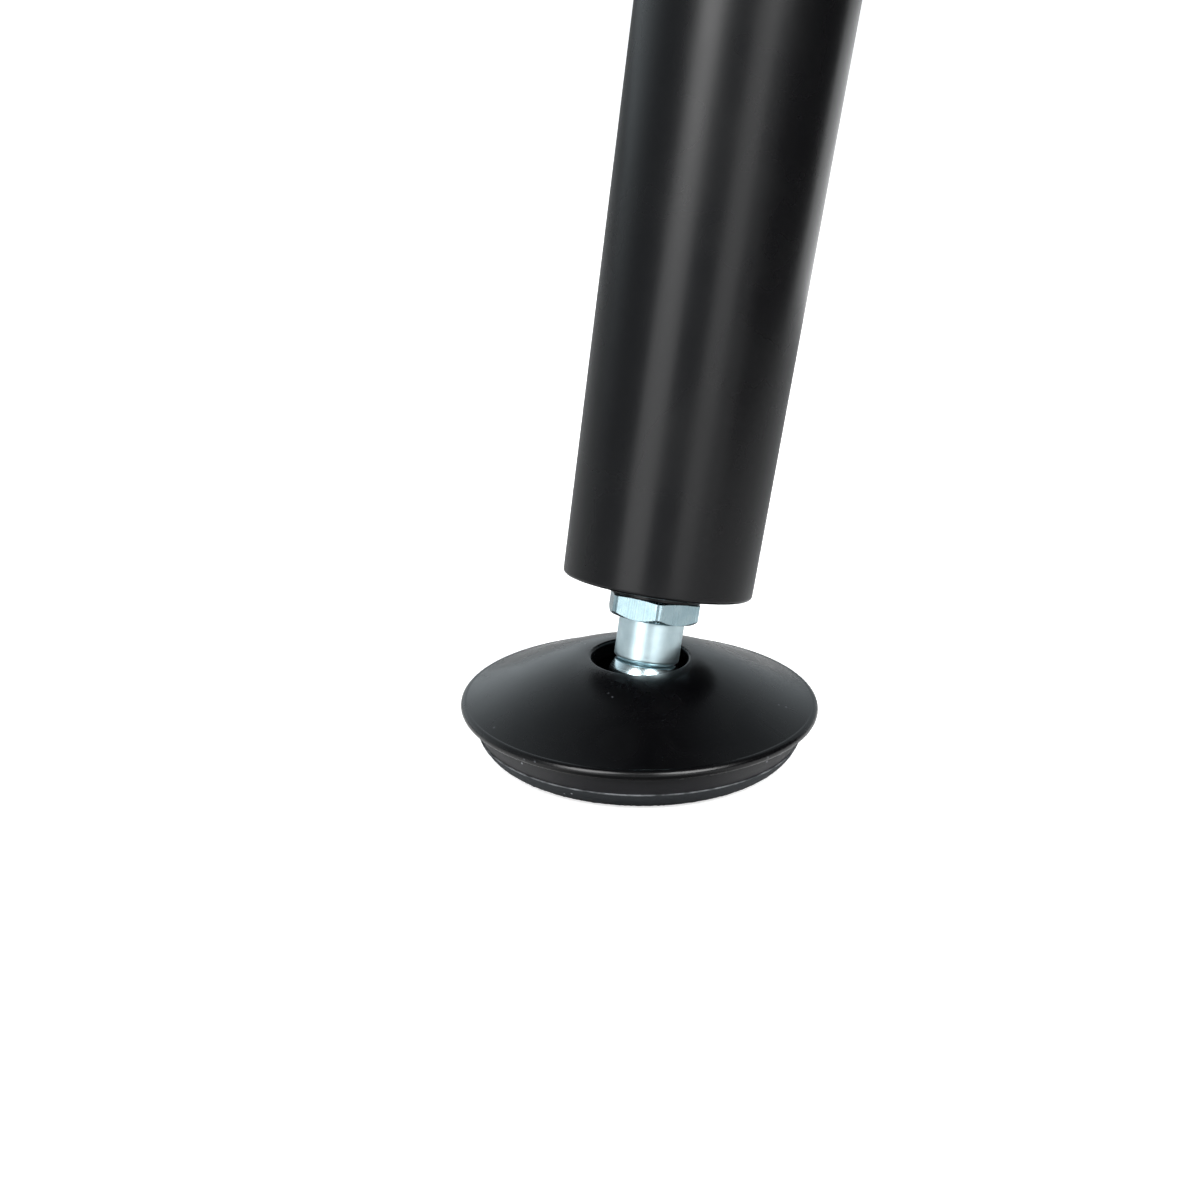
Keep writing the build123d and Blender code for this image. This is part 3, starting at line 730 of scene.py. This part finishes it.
def sole_rubber(name):
    """Die-cut rubber: dull dark grey with an open, slightly crumbly skin, dirt specks, and a painted
    highlight as a pale line along its top edge."""
    material, shader = new_material(name)
    shader.inputs["Specular IOR Level"].default_value = 0.2
    place = add_node(material, "ShaderNodeTexCoord").outputs["Object"]
    height = add_node(material, "ShaderNodeSeparateXYZ", {"Vector": place}).outputs["Z"]
    crumb = add_noise(material, place, 0.35, 4.0)
    dust = add_noise(material, place, 2.5, 4.0)
    specks = speck_mask(material, place, SOLE_MARKS)
    # Painted highlight: the colour turns pale in a narrow band along the sole's top edge, broken up by the
    # dust noise
    edge = add_node(material, "ShaderNodeMapRange", {"Value": height},
                    {"From Min": sole_high[2] - 0.24 * MM, "From Max": sole_high[2] - 0.1 * MM})
    broken = add_node(material, "ShaderNodeMapRange", {"Value": dust.outputs[0]},
                      {"From Min": 0.4, "From Max": 0.62, "To Min": 0.12, "To Max": 1.0})
    painted_edge_highlight = add_node(material, "ShaderNodeMath", {0: edge.outputs[0], 1: broken.outputs[0]},
                      operation="MULTIPLY")
    pale = add_node(material, "ShaderNodeMath", {0: painted_edge_highlight.outputs[0], 1: specks}, operation="MAXIMUM")
    dusty = mix_colours(material, crumb.outputs[0], "#282a2c", "#383b3e")
    # The pale colour paints the highlight along the top edge and also colours the dirt specks
    colour = mix_colours(material, pale.outputs[0], dusty, "#86898c")
    gloss = add_node(material, "ShaderNodeMapRange", {"Value": crumb.outputs[0]},
                     {"To Min": 0.7, "To Max": 0.95})
    finish_surface(material, shader, colour, gloss.outputs[0], crumb.outputs[0], 0.05)
    return material


def zinc_plate(name, dull, bright, roughness, centre, turn, flats_from, polished_to):
    """Zinc plate on turned and milled steel: cold bright metal with tool rings round its shank, drawn lines
    up its hexagon, and a cloudy bloom in the plating."""
    material, shader = new_material(name)
    shader.inputs["Metallic"].default_value = 1.0
    coords = add_node(material, "ShaderNodeTexCoord").outputs["Object"]
    place = add_node(material, "ShaderNodeMapping", {"Vector": coords},
                     {"Location": centre, "Rotation": turn}, vector_type="TEXTURE").outputs[0]
    axes = add_node(material, "ShaderNodeSeparateXYZ", {"Vector": place}).outputs
    # Real tool marks are about 0.1 mm apart; both patterns are drawn about three times as coarse
    rings = add_node(material, "ShaderNodeTexNoise", {"W": axes["Z"]},
                     {"Scale": 1 / (0.3 * MM), "Detail": 2.0}, noise_dimensions="1D")
    bearing = add_node(material, "ShaderNodeMath", {0: axes["Y"], 1: axes["X"]}, operation="ARCTAN2")
    lines = add_node(material, "ShaderNodeTexNoise", {"W": bearing.outputs[0]},
                     {"Scale": 7 / 0.3, "Detail": 2.0}, noise_dimensions="1D")
    along = add_node(material, "ShaderNodeMath", {0: axes["Z"]}, operation="ABSOLUTE")
    on_flats = add_node(material, "ShaderNodeMath", {0: along.outputs[0]}, {1: flats_from * MM},
                        operation="GREATER_THAN")
    grain = add_node(material, "ShaderNodeMix",
                     {0: on_flats.outputs[0], 2: rings.outputs[0], 3: lines.outputs[0]})
    bloom = add_noise(material, place, 2.2, 5.0)
    tone = add_node(material, "ShaderNodeMapRange", {"Value": bloom.outputs[0]},
                    {"From Min": 0.3, "From Max": 0.7, "To Min": 0.65, "To Max": 1.0})
    # The drawn flats are duller than the turned shank
    dulled = add_node(material, "ShaderNodeMath", {0: on_flats.outputs[0], 2: tone.outputs[0]}, {1: -0.65},
                      operation="MULTIPLY_ADD", use_clamp=True)
    colour = mix_colours(material, dulled.outputs[0], dull, bright)
    scratched = add_node(material, "ShaderNodeMapRange", {"Value": grain.outputs[0]},
                         {"From Min": 0.25, "From Max": 0.75,
                          "To Min": roughness - 0.06, "To Max": roughness + 0.06})
    polished = add_node(material, "ShaderNodeMath", {0: along.outputs[0]}, {1: polished_to * MM},
                        operation="LESS_THAN")
    smooth_zones = add_node(material, "ShaderNodeMath", {0: on_flats.outputs[0], 1: polished.outputs[0]},
                            operation="MAXIMUM")
    gloss = add_node(material, "ShaderNodeMath", {0: smooth_zones.outputs[0], 2: scratched.outputs[0]},
                     {1: -0.14}, operation="MULTIPLY_ADD")
    finish_surface(material, shader, colour, gloss.outputs[0], grain.outputs[0], 0.004)
    return material


def spring_steel(name):
    """Cold-rolled, hardened and oiled strip: grey with fine rolling lines and a straw to blue temper."""
    material, shader = new_material(name)
    shader.inputs["Metallic"].default_value = 1.0
    coords = add_node(material, "ShaderNodeTexCoord").outputs["Object"]
    along = add_node(material, "ShaderNodeMapping", {"Vector": coords},
                     {"Scale": (1 / (0.25 * MM), 1 / (15 * MM), 1 / (0.25 * MM))}).outputs[0]
    rolling = add_node(material, "ShaderNodeTexNoise", {"Vector": along}, {"Scale": 1.0, "Detail": 3.0})
    temper = add_noise(material, coords, 12, 2.0)
    colour = mix_colours(material, temper.outputs[0], "#7d766a", "#7c8794")
    gloss = add_node(material, "ShaderNodeMapRange", {"Value": rolling.outputs[0]},
                     {"To Min": 0.26, "To Max": 0.46})
    finish_surface(material, shader, colour, gloss.outputs[0], rolling.outputs[0], 0.006)
    return material


def natural_nylon(name):
    """Moulded natural nylon: milky off-white, faintly mottled, with a waxy half-dull skin."""
    material, shader = new_material(name)
    shader.inputs["Subsurface Weight"].default_value = 0.2
    shader.inputs["Subsurface Radius"].default_value = (0.6 * MM, 0.55 * MM, 0.5 * MM)
    shader.inputs["Subsurface Scale"].default_value = 1.0
    place = add_node(material, "ShaderNodeTexCoord").outputs["Object"]
    mottle = add_noise(material, place, 3, 3.0)
    skin = add_noise(material, place, 0.4, 2.0)
    colour = mix_colours(material, mottle.outputs[0], "#d2cfc2", "#e4e2da")
    gloss = add_node(material, "ShaderNodeMapRange", {"Value": skin.outputs[0]},
                     {"To Min": 0.38, "To Max": 0.55})
    finish_surface(material, shader, colour, gloss.outputs[0], skin.outputs[0], 0.01)
    return material


def make_finishes():
    """One material for each of the record's slots."""
    cheek = (nut_low[0] - hinge_centre.x) / MM
    return {
        "leg_coat": powder_coat("black_powder_coat_leg", "#08080a", "#0b0b0c", 0.27, 0.8, 0.003),
        "bracket_coat": powder_coat("black_powder_coat_bracket", "#101011", "#151516", 0.38, 0.8, 0.006),
        "head_coat": powder_coat("black_coated_sand_casting", "#0e0e0f", "#161617", 0.46, 1.1, 0.06),
        "rivet_coat": powder_coat("black_coated_rivets", "#0f0f10", "#161617", 0.34, 0.6, 0.004),
        "zinc_hardware": zinc_plate("zinc_plated_hardware", "#858c8f", "#b9bfc1", 0.42, hinge_centre,
                                    (0, math.radians(90), 0), cheek, 0),
        "spindle_zinc": zinc_plate("blue_zinc_plated_spindle", "#a8c4cd", "#dcf0f5", 0.38, ball_centre,
                                   (-leg_lean, 0, 0), HEX_BOTTOM, RING_TOP),
        "spring_steel": spring_steel("oiled_spring_steel"),
        "nylon": natural_nylon("natural_nylon"),
        "cap_plastic": cap_plastic("black_half_gloss_abs"),
        "base_plastic": base_plastic("black_matt_polypropylene"),
        "sole_rubber": sole_rubber("dark_die_cut_rubber"),
    }


def paint_nodes():
    slots = {part["node"]: part["material_slot"] for part in frame["record"]["subparts"]}
    for node, obj in frame["nodes"].items():
        obj.data.materials.clear()
        obj.data.materials.append(finishes[slots[node]])


# Stage: pale floor, a studio that is bright round the sides and dark overhead, two soft boxes and two low
# strips in front, and two cards that shape the reflections
def add_floor():
    bpy.ops.object.select_all(action="DESELECT")
    bpy.ops.mesh.primitive_plane_add(size=FLOOR_SIZE, location=foot_centre)
    floor = bpy.context.object
    floor.name = "floor"
    material, shader = new_material("pale_floor")
    shader.inputs["Roughness"].default_value = 0.8
    shader.inputs["Specular IOR Level"].default_value = 0.1
    shader.inputs["Emission Color"].default_value = to_linear("#ffffff")
    # The floor is pale and glows a little to the eye, but throws only some of that light back up at the leg
    seen = add_node(material, "ShaderNodeLightPath").outputs["Is Camera Ray"]
    place = add_node(material, "ShaderNodeTexCoord").outputs["Object"]
    # Painted shadow: for the leg's light and reflections only, the floor is dark grey in a pool in front of
    # the foot
    reach = add_node(material, "ShaderNodeVectorMath", {0: place}, {1: view_away * -PAINTED_SHADE_AHEAD},
                     operation="DISTANCE")
    outside_painted_shade = add_node(material, "ShaderNodeMapRange", {"Value": reach.outputs["Value"]},
                          {"From Min": PAINTED_SHADE_FADE[0], "From Max": PAINTED_SHADE_FADE[1]},
                          interpolation_type="SMOOTHSTEP")
    from_foot = add_node(material, "ShaderNodeVectorMath", {0: place}, operation="LENGTH")
    beyond_painted_light = add_node(material, "ShaderNodeMapRange", {"Value": from_foot.outputs["Value"]},
                       {"From Min": PAINTED_LIGHT_FADE[0], "From Max": PAINTED_LIGHT_FADE[1]}, interpolation_type="SMOOTHSTEP")
    # Painted pool of light: for the leg's light and reflections only, the floor is paler close round the
    # foot than further out
    rings = mix_colours(material, beyond_painted_light.outputs[0], "#f0f0f0", "#b8b8b8")
    painted_shade_and_light = mix_colours(material, outside_painted_shade.outputs[0], "#606060", rings)
    tone = mix_colours(material, seen, painted_shade_and_light, "#f4f4f4")
    glow = add_node(material, "ShaderNodeMath", {0: seen}, {1: FLOOR_GLOW}, operation="MULTIPLY")
    material.node_tree.links.new(tone, shader.inputs["Base Color"])
    material.node_tree.links.new(glow.outputs[0], shader.inputs["Emission Strength"])
    floor.data.materials.append(material)


def add_card(name, place, facing, size, colour, glow):
    """Studio card out of the picture, hidden from the camera: it only shows in the leg's reflections."""
    bpy.ops.object.select_all(action="DESELECT")
    rotation = facing.to_track_quat("Z", "Y").to_euler()
    bpy.ops.mesh.primitive_plane_add(size=1, location=place, rotation=rotation)
    card = bpy.context.object
    card.name = name
    card.scale = (*size, 1)
    card.visible_camera = False
    card.visible_shadow = False
    card.visible_diffuse = False
    material, shader = new_material(name)
    shader.inputs["Base Color"].default_value = to_linear(colour)
    shader.inputs["Roughness"].default_value = 0.9
    shader.inputs["Emission Color"].default_value = to_linear(colour)
    shader.inputs["Emission Strength"].default_value = glow
    card.data.materials.append(material)


def add_cards():
    flag_place = around(85, distance=0.3, height=0.3)
    facing_leg = around(0, distance=0, height=0.3) - flag_place
    add_card("black_flag", flag_place, facing_leg, size=(0.38, 0.6), colour="#0a0a0a", glow=0)
    reflector_place = around(142, distance=0.5, height=0.002)
    upwards = Vector((0, 0, 1))
    add_card("white_reflector", reflector_place, upwards, size=(0.5, 0.5), colour="#f4f4f4", glow=0.7)


def add_area_light(name, degrees, height, shape, size, turn, watts):
    """Soft box at this bearing and height, facing the lower leg and turned in degrees about its axis."""
    data = bpy.data.lights.new(name, "AREA")
    data.shape = shape
    data.size, data.size_y = size
    data.energy = watts
    light = bpy.data.objects.new(name, data)
    bpy.context.scene.collection.objects.link(light)
    light.location = around(degrees, LIGHT_DISTANCE, height)
    to_leg = around(0, 0, LIGHT_AIM_HEIGHT) - light.location
    facing = to_leg.to_track_quat("-Z", "Y").to_matrix().to_4x4()
    light.rotation_euler = (facing @ Matrix.Rotation(math.radians(turn), 4, "Z")).to_euler()
    light.visible_camera = False


def add_lights():
    add_area_light("left_box", -36, height=0.8, shape="ELLIPSE", size=(0.75, 0.9), turn=-10, watts=14)
    add_area_light("left_strip", -37, height=0.16, shape="RECTANGLE", size=(0.55, 0.5), turn=0, watts=1.8)
    add_area_light("right_box", 36, height=0.8, shape="ELLIPSE", size=(0.75, 0.9), turn=20, watts=17)
    add_area_light("right_strip", 22, height=0.16, shape="RECTANGLE", size=(0.4, 0.5), turn=0, watts=1.1)


def add_studio():
    world = bpy.data.worlds.new("studio")
    world.use_nodes = True
    background = world.node_tree.nodes["Background"]
    direction = add_node(world, "ShaderNodeTexCoord").outputs["Generated"]
    height = add_node(world, "ShaderNodeSeparateXYZ", {"Vector": direction}).outputs["Z"]
    walls = add_node(world, "ShaderNodeValToRGB", {"Fac": height})
    while len(walls.color_ramp.elements) < len(WALL_LEVELS):
        walls.color_ramp.elements.new(0.5)
    for element, (position, level) in zip(walls.color_ramp.elements, WALL_LEVELS):
        element.position = position
        element.color = [tint * level for tint in WALL_TINT] + [1]
    # Brighter behind the leg than in front of it, and on the left more than on the right
    away = add_node(world, "ShaderNodeVectorMath", {0: direction}, {1: view_away}, operation="DOT_PRODUCT")
    behind = add_node(world, "ShaderNodeMapRange", {"Value": away.outputs["Value"]},
                      {"From Min": -0.15, "From Max": 0.6, "To Min": 0.33, "To Max": 1.1},
                      interpolation_type="SMOOTHSTEP")
    sideways = add_node(world, "ShaderNodeVectorMath", {0: direction}, {1: view_right},
                        operation="DOT_PRODUCT")
    darker = add_node(world, "ShaderNodeMapRange", {"Value": sideways.outputs["Value"]},
                      {"From Min": -0.2, "From Max": 0.3, "To Min": 1.0, "To Max": 0.6},
                      interpolation_type="SMOOTHSTEP")
    shade = add_node(world, "ShaderNodeMath", {0: behind.outputs[0], 1: darker.outputs[0]},
                     operation="MULTIPLY")
    world.node_tree.links.new(walls.outputs["Color"], background.inputs["Color"])
    world.node_tree.links.new(shade.outputs[0], background.inputs["Strength"])
    plain = add_node(world, "ShaderNodeBackground", {}, {"Color": (0.9, 0.9, 0.9, 1)})
    seen = add_node(world, "ShaderNodeLightPath").outputs["Is Camera Ray"]
    both = add_node(world, "ShaderNodeMixShader", {0: seen, 1: background.outputs[0], 2: plain.outputs[0]})
    output = world.node_tree.nodes["World Output"]
    world.node_tree.links.new(both.outputs[0], output.inputs["Surface"])
    bpy.context.scene.world = world


add_camera()
finishes = make_finishes()
paint_nodes()
add_leg_tube()
add_end_disc()
add_head_rivets()
add_levelling_spindle()
add_neck_ring()
add_foot_sole()
add_pivot_bolt()
add_lock_nut()
add_stop_pin()
add_latch_rivets()
break_edges("mounting_bracket", "pressed_bracket", BRACKET_BREAK, "bracket", "bracket_coat")
break_edges("latch_spring", "bent_latch_spring", SPRING_BREAK, "bracket", "spring_steel")
break_edges("hinge_head", "cast_hinge_head", HEAD_BREAK, "leg", "head_coat")
add_floor()
add_cards()
add_lights()
add_studio()
bpy.context.scene.view_settings.view_transform = "Standard"
